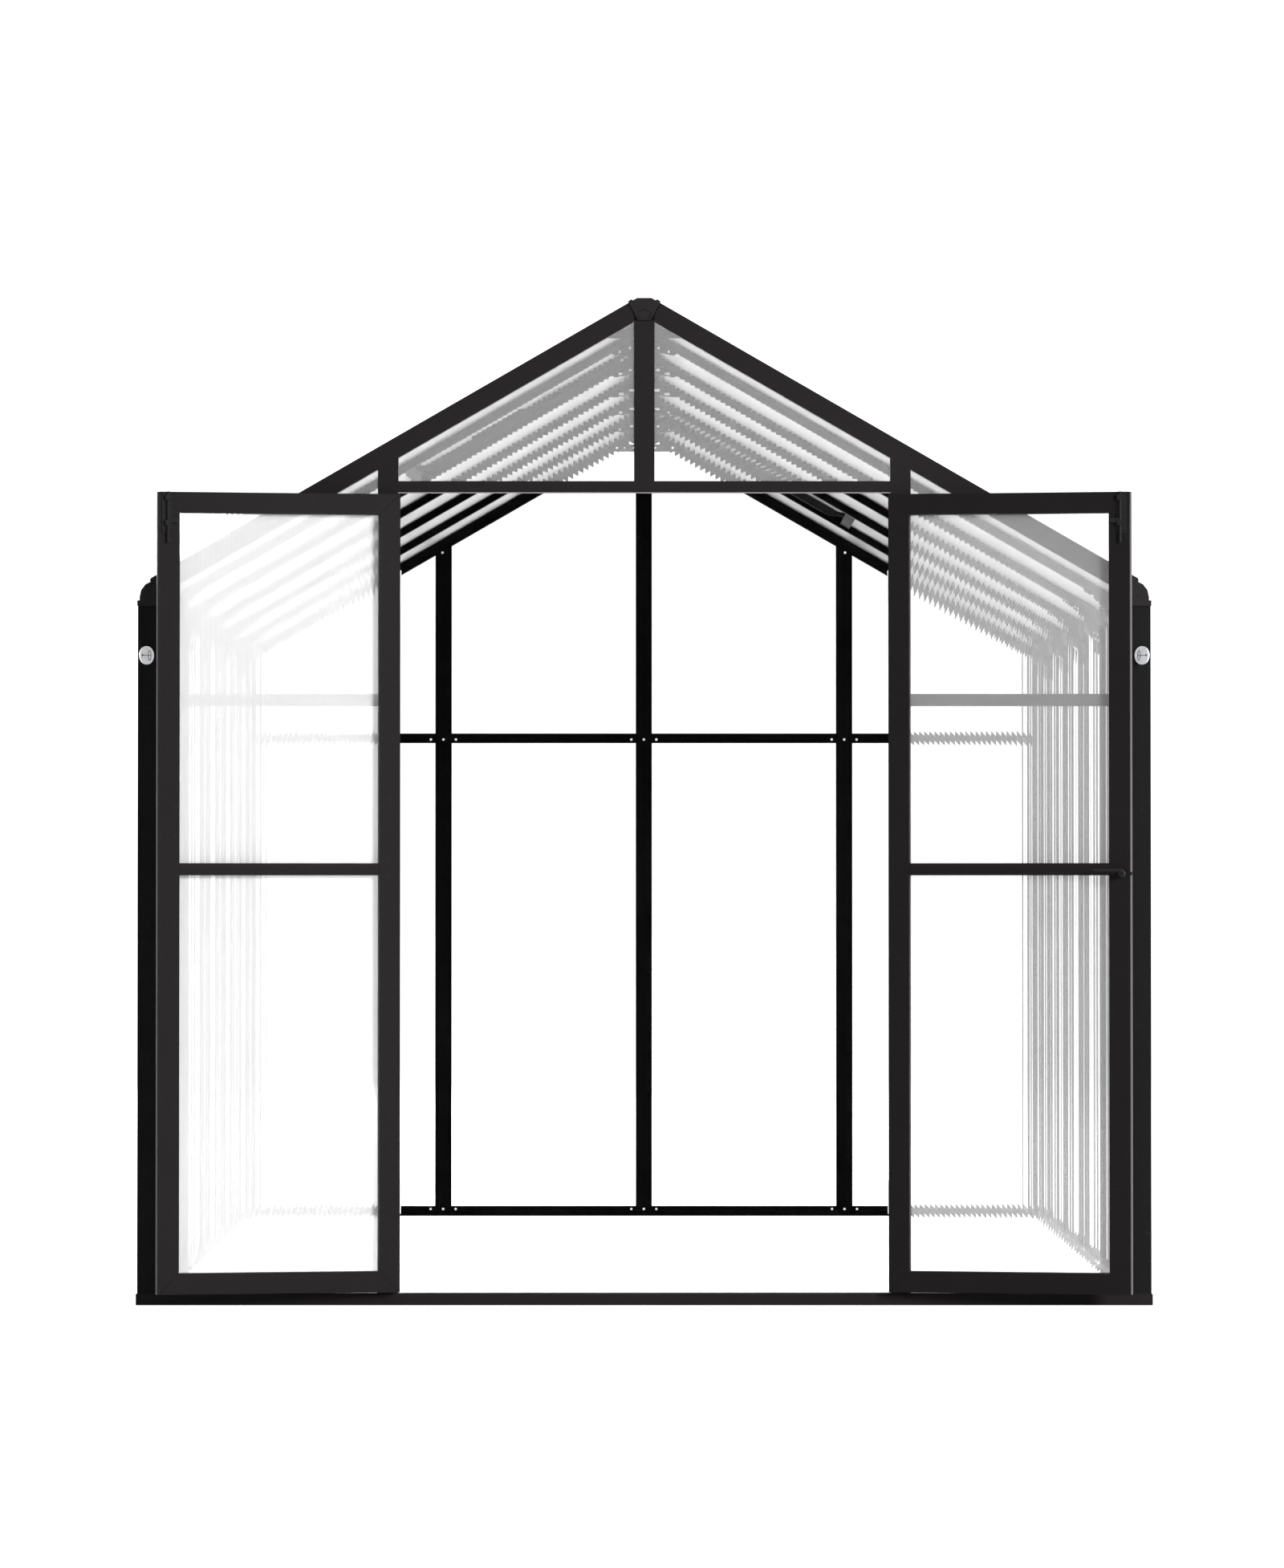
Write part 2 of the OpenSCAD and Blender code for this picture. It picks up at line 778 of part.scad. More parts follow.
// Opener: two arms lying under the vent, hooked up to the sill, with a wax cylinder and
// its rod between them and a cross pin at each end
module vent_opener(b) {
    arm_t = 3;
    gap = 24;
    corner = 4;
    top_t = cap_t + vent_t + 1;
    low_t = top_t + opener_h;
    far_u = sill_u0 - opener_l;
    bend_u = sill_u0 - 50;
    axis_t = top_t + corner;
    wax_u = far_u + 20;
    wax_l = 150;
    rod_end_u = sill_u0 - 40;
    rod_d = 9;
    pin_u = [far_u + 8, sill_u0 - 44];
    pin_d = 6;
    y = (vent_y(b)[0] + vent_y(b)[1]) / 2;
    on_slope() {
        for (side = [-1, 1])
            upright(y + side * gap / 2 - arm_t / 2, y + side * gap / 2 + arm_t / 2)
                polygon([[far_u, -top_t - corner], [far_u, -low_t + corner],
                [far_u + 2 * corner, -low_t], [bend_u, -low_t],
                [bend_u + 20, -low_t + 5], [bend_u + 36, -low_t + 15],
                [sill_u0, -roof_lip_t - sill_h - corner], [sill_u0, -roof_lip_t - joint],
                [bend_u + 34, -top_t + corner], [bend_u + 18, -top_t],
                [far_u + 14, -top_t]]);
        translate([wax_u, y, -axis_t]) rotate([0, 90, 0])
            cylinder(d = gap - arm_t + joint, h = wax_l);
        translate([wax_u + wax_l - 1, y, -axis_t]) rotate([0, 90, 0])
            cylinder(d = rod_d, h = rod_end_u - wax_u - wax_l + 1);
        for (u = pin_u)
            translate([u, y + gap / 2, -top_t - 2 * corner]) rotate([90, 0, 0])
                cylinder(d = pin_d, h = gap);
    }
}

module vent_right_frame() {
    color(shade_colour) vent_frame(right_vent);
}

module vent_right_sheet() {
    color(sheet_colour) vent_sheet(right_vent);
}

module vent_right_opener() {
    color(plastic_colour) vent_opener(right_vent);
}

module vent_left_frame() {
    color(shade_colour) mirror([1, 0, 0]) vent_frame(left_vent);
}

module vent_left_sheet() {
    color(sheet_colour) mirror([1, 0, 0]) vent_sheet(left_vent);
}

module vent_left_opener() {
    color(plastic_colour) mirror([1, 0, 0]) vent_opener(left_vent);
}

// ---- Catches and hinges ----

// Catch on the right corner post: a foot and a disc turned towards the open leaf
module door_catch() {
    off_centre = 3;
    disc_t = 3;
    foot_w = 16;
    foot_h = 18;
    reach = 18;
    translate([corner_x + post_w / 2 + off_centre, front_y, catch_z]) {
        translate([0, 0, -foot_h / 2]) linear_extrude(foot_h) polygon([
            [-foot_w / 2, 0], [foot_w / 2, 0], [foot_w / 2, -reach - foot_w / 2],
            [-foot_w / 2, -reach + foot_w / 2]]);
        translate([0, -reach, 0]) rotate([0, 0, -45]) rotate([90, 0, 0])
            cylinder(d = catch_d, h = disc_t);
    }
}

module door_catches() {
    color(zinc_colour) both_sides() door_catch();
}

// Hinge pins stand in the gap beside each leaf, just in front of the wall
hinge_air = 0.5;
knuckle_gap = 0.3;
pin_x = door_x - knuckle_r - hinge_air;
pin_y = front_y - knuckle_r - hinge_air;
leaf_x1 = pin_x - hinge_plate - hinge_air;
leaf_x0 = meeting_gap / 2 + edge_seal_w;
leaf_z0 = rail_h + leaf_gap;
leaf_z1 = door_h - leaf_gap;
knuckle_h = hinge_h / 3;
plate_y = pin_y + wall_t - 8;

// Jamb half of a hinge on the right: plate, two knuckles and the pin
module jamb_hinge(z) {
    difference() {
        block([door_x - hinge_plate, pin_y, z], [door_x, plate_y, z + hinge_h]);
        block([pin_x, pin_y - 1, z + knuckle_h - knuckle_gap],
            [door_x + 1, pin_y + knuckle_r + hinge_air,
            z + 2 * knuckle_h + knuckle_gap]);
    }
    for (k = [0, 2])
        translate([pin_x, pin_y, z + k * knuckle_h + (k == 2 ? knuckle_gap : 0)])
            cylinder(r = knuckle_r, h = knuckle_h - knuckle_gap);
    translate([pin_x, pin_y, z]) cylinder(r = hinge_pin_r, h = hinge_h);
}

module jamb_hinges() {
    color(zinc_colour) both_sides()
        for (z = [hinge_low_z, hinge_high_z]) jamb_hinge(z);
}

// ---- Door leaves: the right leaf, drawn shut and swung to where it stands ----

module right_leaf_place() {
    translate([pin_x, pin_y, 0]) rotate([0, 0, door_open])
        translate([-pin_x, -pin_y, 0]) children();
}

module left_leaf_place() {
    mirror([1, 0, 0]) right_leaf_place() children();
}

// Slots round a leaf's sheet opening, from z0 up to z1
module leaf_slots(z0, z1) {
    block([leaf_x0 + leaf_bar - slot_d, slot_y, z0 - slot_d],
        [leaf_x1 - leaf_bar + slot_d, slot_y + slot_h, z1 + slot_d]);
}

// Mitred stiles, slotted on their inner edges
module leaf_stiles() {
    difference() {
        for (bar = [[leaf_x0, leaf_bar], [leaf_x1, -leaf_bar]])
            upright(front_y, inner_y) polygon([[bar[0], leaf_z0], [bar[0], leaf_z1],
                [bar[0] + bar[1], leaf_z1 - leaf_bar],
                [bar[0] + bar[1], leaf_z0 + leaf_bar]]);
        leaf_slots(leaf_z0 + leaf_bar, leaf_z1 - leaf_bar);
    }
}

// Mitred top and bottom rails and the butted mid rail
module leaf_rails() {
    mid_z0 = mid_rail_z - rail_h / 2;
    mid_z1 = mid_rail_z + rail_h / 2;
    difference() {
        union() {
            for (bar = [[leaf_z0, leaf_bar], [leaf_z1, -leaf_bar]])
                upright(front_y, inner_y) polygon([[leaf_x0, bar[0]],
                    [leaf_x1, bar[0]], [leaf_x1 - leaf_bar, bar[0] + bar[1]],
                    [leaf_x0 + leaf_bar, bar[0] + bar[1]]]);
            block([leaf_x0 + leaf_bar, front_y, mid_z0],
                [leaf_x1 - leaf_bar, inner_y, mid_z1]);
        }
        leaf_slots(leaf_z0 + leaf_bar, mid_z0);
        leaf_slots(mid_z1, leaf_z1 - leaf_bar);
    }
}

// A leaf's sheet between the bars at z0 and z1
module leaf_sheet(z0, z1) {
    block([leaf_x0 + leaf_bar - bite, sheet_y0, z0 - bite],
        [leaf_x1 - leaf_bar + bite, sheet_y1, z1 + bite]);
}

module leaf_sheets() {
    leaf_sheet(leaf_z0 + leaf_bar, mid_rail_z - rail_h / 2);
    leaf_sheet(mid_rail_z + rail_h / 2, leaf_z1 - leaf_bar);
}

module leaf_edge_seal() {
    inset = 6;
    block([meeting_gap / 2, front_y + inset, leaf_z0],
        [leaf_x0, inner_y - inset, leaf_z1]);
}

// Leaf half of a hinge: plate and middle knuckle, bored for the pin
module leaf_hinge(z) {
    low = z + knuckle_h + knuckle_gap;
    high = z + 2 * knuckle_h - knuckle_gap;
    swing_air = 1.2;
    clear_y = pin_y + knuckle_r + swing_air;
    difference() {
        union() {
            block([leaf_x1, clear_y, z], [leaf_x1 + hinge_plate, plate_y, z + hinge_h]);
            block([leaf_x1, pin_y, low], [leaf_x1 + hinge_plate, clear_y + 1, high]);
            translate([pin_x, pin_y, low]) cylinder(r = knuckle_r, h = high - low);
        }
        translate([pin_x, pin_y, low - 1])
            cylinder(r = hinge_pin_r + pin_fit, h = high - low + 2);
    }
}

module leaf_hinges() {
    for (z = [hinge_low_z, hinge_high_z]) leaf_hinge(z);
}

// Slide bolt on the inner face of the free stile, drawn back: plate, rod, guides, thumb
module leaf_bolt() {
    x = leaf_x0 + 22;
    plate_x = [x - 15, x + 9];
    plate_h = 98;
    plate_t = 2;
    rod_d = 7;
    rod_y = inner_y + plate_t + 4;
    guide_z = [leaf_z1 - 20, leaf_z1 - plate_h + 18];
    guide_h = 12;
    thumb_z = leaf_z1 - 74;
    thumb_l = 25;
    thumb_h = 11;
    thumb_t = 4;
    block([plate_x[0], inner_y, leaf_z1 - plate_h],
        [plate_x[1], inner_y + plate_t, leaf_z1]);
    translate([x, rod_y, leaf_z1 - bolt_l]) cylinder(d = rod_d, h = bolt_l);
    for (z = guide_z)
        block([x - rod_d, inner_y + 1, z], [x + rod_d, rod_y + rod_d / 2 + 1, z + guide_h]);
    block([x, rod_y - thumb_t / 2, thumb_z],
        [x + thumb_l, rod_y + thumb_t / 2, thumb_z + thumb_h]);
}

// Lever handle on both faces of the free stile: rose, neck and a slim lever
module leaf_handle() {
    x = leaf_x0 + 18;
    rose_d = 21;
    rose_t = 5;
    neck_d = 14;
    neck_l = 30;
    lever_h = 5.4;
    lever_t = 12;
    lever_x0 = x - 4;
    lever_z = handle_z + 6;
    for (face = [0, 1])
        translate([0, face * (front_y + inner_y), 0]) mirror([0, face, 0]) {
            translate([x, front_y, handle_z]) rotate([90, 0, 0]) {
                cylinder(d = rose_d, h = rose_t);
                cylinder(d = neck_d, h = neck_l + lever_t);
            }
            block([lever_x0, front_y - neck_l - lever_t, lever_z],
                [x + lever_l, front_y - neck_l, lever_z + lever_h]);
        }
}

module left_door_stiles() {
    color(left_leaf_colour) left_leaf_place() leaf_stiles();
}

module left_door_rails() {
    color(left_leaf_colour) left_leaf_place() leaf_rails();
}

module left_door_sheets() {
    color(sheet_colour) left_leaf_place() leaf_sheets();
}

module left_door_edge_seal() {
    color(seal_colour) left_leaf_place() leaf_edge_seal();
}

module left_door_hinges() {
    color(zinc_colour) left_leaf_place() leaf_hinges();
}

module left_door_bolt() {
    color(plastic_colour) left_leaf_place() leaf_bolt();
}

module right_door_stiles() {
    color(frame_colour) right_leaf_place() leaf_stiles();
}

module right_door_rails() {
    color(frame_colour) right_leaf_place() leaf_rails();
}

module right_door_sheets() {
    color(sheet_colour) right_leaf_place() leaf_sheets();
}

module right_door_edge_seal() {
    color(seal_colour) right_leaf_place() leaf_edge_seal();
}

module right_door_hinges() {
    color(zinc_colour) right_leaf_place() leaf_hinges();
}

module right_door_bolt() {
    color(plastic_colour) right_leaf_place() leaf_bolt();
}

module right_door_handle() {
    color(plastic_colour) right_leaf_place() leaf_handle();
}

base_front();
base_back();
base_sides();
corner_posts();
door_posts();
front_centre_post();
door_header();
door_head_seal();
front_rails();
back_posts();
back_rails();
side_posts_left();
side_posts_right();
eave_beam_left();
eave_beam_right();
ridge_beam();
front_gable_rafters();
back_gable_rafters();
rafters_left();
rafters_right();
ridge_gussets();
eave_gussets();
ridge_caps();
eave_caps();
front_sheets();
back_sheets();
side_sheets_left();
side_sheets_right();
roof_sheets_left();
roof_sheets_right();
vent_sills();
vent_left_frame();
vent_left_sheet();
vent_left_opener();
vent_right_frame();
vent_right_sheet();
vent_right_opener();
door_catches();
jamb_hinges();
left_door_stiles();
left_door_rails();
left_door_sheets();
left_door_edge_seal();
left_door_hinges();
left_door_bolt();
right_door_stiles();
right_door_rails();
right_door_sheets();
right_door_edge_seal();
right_door_hinges();
right_door_bolt();
right_door_handle();
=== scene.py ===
import json
import math

import bmesh
import bpy
from mathutils import Matrix, Vector


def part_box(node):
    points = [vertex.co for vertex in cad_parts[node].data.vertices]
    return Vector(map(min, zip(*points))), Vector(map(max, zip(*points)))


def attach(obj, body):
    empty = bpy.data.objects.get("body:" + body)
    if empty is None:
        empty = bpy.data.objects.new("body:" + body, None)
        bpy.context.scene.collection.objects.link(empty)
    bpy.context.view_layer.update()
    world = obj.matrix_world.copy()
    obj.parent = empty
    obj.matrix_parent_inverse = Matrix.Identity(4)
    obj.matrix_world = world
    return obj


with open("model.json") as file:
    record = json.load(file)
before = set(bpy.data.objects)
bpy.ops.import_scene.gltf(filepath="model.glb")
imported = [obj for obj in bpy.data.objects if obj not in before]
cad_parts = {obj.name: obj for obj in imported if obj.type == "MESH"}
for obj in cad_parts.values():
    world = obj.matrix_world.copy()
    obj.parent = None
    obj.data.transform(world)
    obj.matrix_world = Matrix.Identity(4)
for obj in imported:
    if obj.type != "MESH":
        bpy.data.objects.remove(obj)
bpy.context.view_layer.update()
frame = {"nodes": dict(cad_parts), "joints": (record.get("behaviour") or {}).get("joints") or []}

nodes = frame["nodes"]

# ---- Camera ----
# A long lens stands square in front of the doorway, about waist high, and looks up by
# one degree. The gable shows undistorted, and the back wall shows between the open
# doors.
camera = bpy.data.objects.new("camera", bpy.data.cameras.new("camera"))
bpy.context.scene.collection.objects.link(camera)
camera.data.lens = 129.7
camera.data.sensor_width = 36
camera.data.clip_end = 200
camera.location = (-0.0055, -13.567, 1.016)
camera.rotation_euler = (math.radians(90.99), 0, 0)
bpy.context.scene.camera = camera

# ---- Floor and light ----
# A plain white floor in a white room, which lights dull surfaces only a little, so the
# bars stay dark. One broad lamp stands well to the right of the camera, a weak one
# overhead, and three outside the sides and the back.
def feed(node, inputs):
    """Sets a node's inputs by name, or links them where a socket is given."""
    for name, value in inputs.items():
        if isinstance(value, bpy.types.NodeSocket):
            node.id_data.links.new(value, node.inputs[name])
        else:
            node.inputs[name].default_value = value


def add(tree, kind, inputs=None, **settings):
    """A shader or geometry node with its settings and its inputs."""
    made = tree.nodes.new(kind)
    for name, value in settings.items():
        setattr(made, name, value)
    feed(made, inputs or {})
    return made


def new_finish(name):
    """A new material, its node tree, its surface shader and its Object coordinates."""
    material = bpy.data.materials.new(name)
    material.use_nodes = True
    tree = material.node_tree
    place = add(tree, "ShaderNodeTexCoord").outputs["Object"]
    return material, tree, tree.nodes["Principled BSDF"], place


def noise(tree, place, scale, detail, roughness=0.5):
    """Clouds or grain over a surface."""
    return add(tree, "ShaderNodeTexNoise", {"Vector": place, "Scale": scale,
               "Detail": detail, "Roughness": roughness}).outputs["Fac"]


def blend(tree, share, low, high):
    """The colour that lies a share of the way from low to high."""
    return add(tree, "ShaderNodeMix", {"Factor": share, "A": low, "B": high},
               data_type="RGBA").outputs["Result"]


def ranged(tree, value, low, high, start=0.0, end=1.0):
    """Low where the value is at its start, high where it is at its end."""
    return add(tree, "ShaderNodeMapRange", {"Value": value, "From Min": start,
               "From Max": end, "To Min": low, "To Max": high}).outputs["Result"]


def room_light(tree, seen, cast):
    """How bright the room is: as seen, and as it lights a dull surface."""
    depth = add(tree, "ShaderNodeLightPath").outputs["Diffuse Depth"]
    return ranged(tree, depth, seen, cast)


floor_finish, tree, shader, place = new_finish("studio_floor")
drift = noise(tree, place, 0.6, 4.0)
feed(shader, {"Base Color": blend(tree, drift, (0.5, 0.5, 0.5, 1), (0.54, 0.54, 0.54, 1)),
              "Roughness": 0.9,
              "Specular IOR Level": 0.1,
              "Emission Color": (1, 1, 1, 1),
              "Emission Strength": room_light(tree, 1.32, 0.1)})
floor_half = 90
floor_z = -0.001
floor_mesh = bpy.data.meshes.new("studio_floor")
floor_mesh.from_pydata([(x * floor_half, y * floor_half, floor_z)
                        for x, y in ((-1, -1), (1, -1), (1, 1), (-1, 1))],
                       [], [(0, 1, 2, 3)])
floor_mesh.materials.append(floor_finish)
floor = bpy.data.objects.new("studio_floor", floor_mesh)
bpy.context.scene.collection.objects.link(floor)

world = bpy.data.worlds.new("white_room")
world.use_nodes = True
bpy.context.scene.world = world
feed(world.node_tree.nodes["Background"], {
     "Color": (1, 1, 1, 1), "Strength": room_light(world.node_tree, 1.36, 0.22)})

lamps_aim = Vector((0, 1.2, 1.1))
for lamp_name, spot, size, power in (
        ("lamp_main", (8.0, -9.5, 4.2), 4.0, 2500),
        ("lamp_above", (0.5, 1.0, 9.0), 5.0, 700),
        ("lamp_left", (-9.0, 3.0, 3.5), 4.0, 700),
        ("lamp_right", (9.5, 4.5, 3.5), 4.0, 800),
        ("lamp_behind", (-3.5, 13.5, 4.0), 4.0, 1500)):
    lamp = bpy.data.objects.new(lamp_name, bpy.data.lights.new(lamp_name, "AREA"))
    lamp.data.shape = "DISK"
    lamp.data.size = size
    lamp.data.energy = power
    lamp.location = spot
    lamp.rotation_euler = (lamps_aim - Vector(spot)).to_track_quat("-Z", "Y").to_euler()
    bpy.context.scene.collection.objects.link(lamp)
bpy.context.scene.view_settings.view_transform = "Standard"

# ---- Bars of the frame ----
# Extruded aluminium bars, slotted for the sheets and powder-coated charcoal. The coat
# has a fine orange-peel surface, an uneven gloss and a little dust. The deeper tone on
# the corner posts and on the bars of the inside, the roof and the back is painted shade:
# darker copies of the same coat.
def shade(colour, factor):
    """A colour made darker or lighter."""
    return tuple(min(1, part * factor) for part in colour) + (1,)


def bump(tree, height, distance, strength):
    """A normal for a surface that stands up by a height."""
    return add(tree, "ShaderNodeBump", {"Height": height, "Distance": distance,
               "Strength": strength}).outputs["Normal"]


def powder_coat(name, colour, sheen):
    """Baked powder coat: fine peel in the surface, faint clouds in tone and gloss."""
    material, tree, shader, place = new_finish(name)
    clouds = noise(tree, place, 2.3, 6.0, 0.6)
    tone = blend(tree, clouds, shade(colour, 0.86), shade(colour, 1.14))
    dust = ranged(tree, noise(tree, place, 90.0, 3.0), 0.0, 0.03, 0.66, 0.8)
    peel = noise(tree, place, 520.0, 2.0)
    feed(shader, {"Base Color": blend(tree, dust, tone, (0.2, 0.19, 0.18, 1)),
                  "Roughness": ranged(tree, clouds, 0.36, 0.56),
                  "Specular IOR Level": sheen,
                  "Normal": bump(tree, peel, 0.00008, 0.6)})
    return material


def finish_nodes(material, *names):
    """Gives CAD nodes their finish."""
    for name in names:
        nodes[name].data.materials.clear()
        nodes[name].data.materials.append(material)


# The corner and inner coats are darker copies of the charcoal coat: painted shade.
front_coat = powder_coat("charcoal_coat", (0.0105, 0.0094, 0.0100), 0.03)
shaded_corner_coat = powder_coat("charcoal_coat_corner_shaded", (0.0076, 0.0073, 0.0075), 0.02)
shaded_inner_coat = powder_coat("charcoal_coat_shaded", (0.0028, 0.0026, 0.0027), 0.01)
finish_nodes(front_coat, "base_front", "base_sides", "door_posts", "front_centre_post",
             "door_header", "front_rails", "front_gable_rafters")
finish_nodes(shaded_corner_coat, "corner_posts")
finish_nodes(shaded_inner_coat, "base_back", "back_posts", "back_rails", "side_posts_left",
             "side_posts_right", "eave_beam_left", "eave_beam_right", "ridge_beam",
             "back_gable_rafters", "rafters_left", "rafters_right", "ridge_gussets",
             "eave_gussets", "vent_sills")

# ---- Screws of the frame ----
# Zinc-plated pan-head screws, 7.5 mm across with a round driver recess, fix the rails,
# the base and the gusset plates to the posts and rafters. They are turned in from
# inside, so none shows on the outer faces.
def zinc_plate(name):
    """Bright zinc plate with a faint spangle and fine brush marks."""
    material, tree, shader, place = new_finish(name)
    spangle = add(tree, "ShaderNodeTexVoronoi", {"Vector": place, "Scale": 160.0})
    tone = blend(tree, spangle.outputs["Distance"], (0.82, 0.83, 0.84, 1),
                 (0.66, 0.67, 0.69, 1))
    brush = noise(tree, place, 240.0, 4.0)
    feed(shader, {"Base Color": tone,
                  "Roughness": ranged(tree, brush, 0.28, 0.5),
                  "Metallic": 0.55,
                  "Normal": bump(tree, brush, 0.00005, 0.4)})
    return material


def worked_out(tree, a, operation, b=0.0):
    """The result of one operation on numbers or sockets."""
    return add(tree, "ShaderNodeMath", {0: a, 1: b}, operation=operation).outputs[0]


def head_tree(name):
    """Geometry nodes that set a screw head on every spot, facing its way."""
    tree = bpy.data.node_groups.new(name, "GeometryNodeTree")
    sockets = tree.interface
    sockets.new_socket("Spots", in_out="INPUT", socket_type="NodeSocketGeometry")
    for label, kind, value in (("Sides", "NodeSocketInt", 12),
                               ("Radius", "NodeSocketFloat", 0.00375),
                               ("Height", "NodeSocketFloat", 0.0022),
                               ("Crown", "NodeSocketFloat", 0.72),
                               ("Recess", "NodeSocketFloat", 0.5)):
        made = sockets.new_socket(label, in_out="INPUT", socket_type=kind)
        made.default_value = value
    sockets.new_socket("Heads", in_out="OUTPUT", socket_type="NodeSocketGeometry")
    given = tree.nodes.new("NodeGroupInput").outputs
    rim_height = worked_out(tree, given["Height"], "MULTIPLY", 0.55)
    rim = add(tree, "GeometryNodeMeshCylinder", {"Vertices": given["Sides"],
              "Radius": given["Radius"], "Depth": rim_height})
    crown = add(tree, "GeometryNodeExtrudeMesh", {"Mesh": rim.outputs["Mesh"],
                "Selection": rim.outputs["Top"], "Individual": False,
                "Offset Scale": worked_out(tree, given["Height"], "SUBTRACT", rim_height)})
    drawn_in = add(tree, "GeometryNodeScaleElements", {
                   "Geometry": crown.outputs["Mesh"],
                   "Selection": crown.outputs["Top"], "Scale": given["Crown"]})
    lip = add(tree, "GeometryNodeExtrudeMesh", {"Mesh": drawn_in.outputs["Geometry"],
              "Selection": crown.outputs["Top"], "Individual": False,
              "Offset Scale": 0.0})
    mouth = add(tree, "GeometryNodeScaleElements", {"Geometry": lip.outputs["Mesh"],
                "Selection": lip.outputs["Top"], "Scale": given["Recess"]})
    socket = add(tree, "GeometryNodeExtrudeMesh", {"Mesh": mouth.outputs["Geometry"],
                 "Selection": lip.outputs["Top"], "Individual": False,
                 "Offset Scale": worked_out(tree, given["Height"], "MULTIPLY", -0.6)})
    lift = add(tree, "ShaderNodeCombineXYZ",
               {"Z": worked_out(tree, rim_height, "MULTIPLY", 0.5)})
    seated = add(tree, "GeometryNodeTransform", {
                 "Geometry": socket.outputs["Mesh"],
                 "Translation": lift.outputs["Vector"]})
    way = add(tree, "GeometryNodeInputNamedAttribute", {"Name": "way"},
              data_type="FLOAT_VECTOR")
    turn = add(tree, "FunctionNodeAlignRotationToVector",
               {"Vector": way.outputs["Attribute"]}, axis="Z")
    placed = add(tree, "GeometryNodeInstanceOnPoints", {"Points": given["Spots"],
                 "Instance": seated.outputs["Geometry"],
                 "Rotation": turn.outputs["Rotation"]})
    solid = add(tree, "GeometryNodeRealizeInstances",
                {"Geometry": placed.outputs["Instances"]})
    feed(tree.nodes.new("NodeGroupOutput"), {"Heads": solid.outputs["Geometry"]})
    return tree


screw_heads = head_tree("screw_heads")


def heads(name, spots, body, slot, finish, **sizes):
    """Heads at spots, each a place and the way it faces, as one piece on a body."""
    mesh = bpy.data.meshes.new(name + "_spots")
    mesh.from_pydata([spot for spot, way in spots], [], [])
    ways = mesh.attributes.new("way", "FLOAT_VECTOR", "POINT")
    for row, (spot, way) in zip(ways.data, spots):
        row.vector = way
    holder = bpy.data.objects.new(name + "_spots", mesh)
    bpy.context.scene.collection.objects.link(holder)
    grown = holder.modifiers.new("heads", "NODES")
    grown.node_group = screw_heads
    keys = {item.name: item.identifier for item in screw_heads.interface.items_tree
            if item.in_out == "INPUT"}
    for label, value in sizes.items():
        grown[keys[label]] = value
    seen = holder.evaluated_get(bpy.context.evaluated_depsgraph_get())
    piece = bpy.data.objects.new(name, bpy.data.meshes.new_from_object(seen))
    piece.data.materials.clear()
    piece.data.materials.append(finish)
    bpy.context.scene.collection.objects.link(piece)
    bpy.data.objects.remove(holder)
    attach(piece, body)
    return piece


zinc_finish = zinc_plate("zinc_bright")
front, back = Vector((0, -1, 0)), Vector((0, 1, 0))
# The inner faces of the walls, and the edges that the screws are set out from.
outer_x, gable_y, base_top_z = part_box("base_sides")[1]
front_in_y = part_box("door_posts")[1][1]
back_in_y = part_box("back_posts")[0][1]
side_in_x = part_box("side_posts_right")[0][0]
eave_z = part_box("side_posts_right")[1][2]
corner_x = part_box("front_rails")[1][0]
door_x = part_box("door_header")[1][0]
post_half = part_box("front_centre_post")[1][0]
header_z = (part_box("door_header")[0][2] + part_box("door_header")[1][2]) / 2
rail_z = (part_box("back_rails")[0][2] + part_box("back_rails")[1][2]) / 2 - 0.004
base_z = base_top_z - 0.008
rafter_foot_z = 2.018
back_bay = outer_x / 2
side_bay = gable_y / 6
beside = 0.038
rail_end = 0.0135
gusset_t = 0.004
# Across and up: two screws in each knee gusset, then two in each ridge gusset.
gusset_screws = ((side_in_x - 0.06, 1.7345), (side_in_x - 0.0055, 1.65), (0.036, 2.357),
                 (0.062, 2.347))
gable_gusset_z = 2.337
spots = []
for z in (rail_z, base_z):
    for x in (-back_bay, 0, back_bay):
        spots += [((x + dx, back_in_y, z), front) for dx in (-beside, 0, beside)]
    for side in (-1, 1):
        for x in (corner_x - rail_end, corner_x + post_half):
            spots.append(((side * x, back_in_y, z), front))
            spots.append(((side * x, front_in_y, z), back))
        for x in (door_x + post_half, door_x + post_half + beside):
            spots.append(((side * x, front_in_y, z), back))
for side in (-1, 1):
    inward = Vector((-side, 0, 0))
    spots.append(((side * (back_bay + 0.003), back_in_y, rafter_foot_z), front))
    for x in (door_x - rail_end, door_x + post_half):
        spots.append(((side * x, front_in_y, header_z), back))
    for y in [side_bay * i for i in range(1, 6)]:
        for dy in (-beside, 0, beside):
            spots.append(((side * side_in_x, y + dy, base_z), inward))
        spots.append(((side * side_in_x, y, eave_z - 0.015), inward))
        for way in (front, back):
            for x, z in gusset_screws:
                spots.append(((side * x, y + way.y * gusset_t / 2, z), way))
    for x in (0.045, 0.085):
        spots.append(((side * x, front_in_y + gusset_t, gable_gusset_z), back))
        spots.append(((side * x, back_in_y - gusset_t, gable_gusset_z), front))
heads("frame_screws", spots, "greenhouse", "zinc_plate", zinc_finish)

# ---- Twin-wall sheets ----
# Clear extruded polycarbonate, 6 mm thick, of two skins joined by ribs, cut to size and
# slid into the slots of the bars. The skins draw slightly hollow between the ribs,
# which throws the edges of whatever is behind them into teeth.
flute_pitch = 0.0122


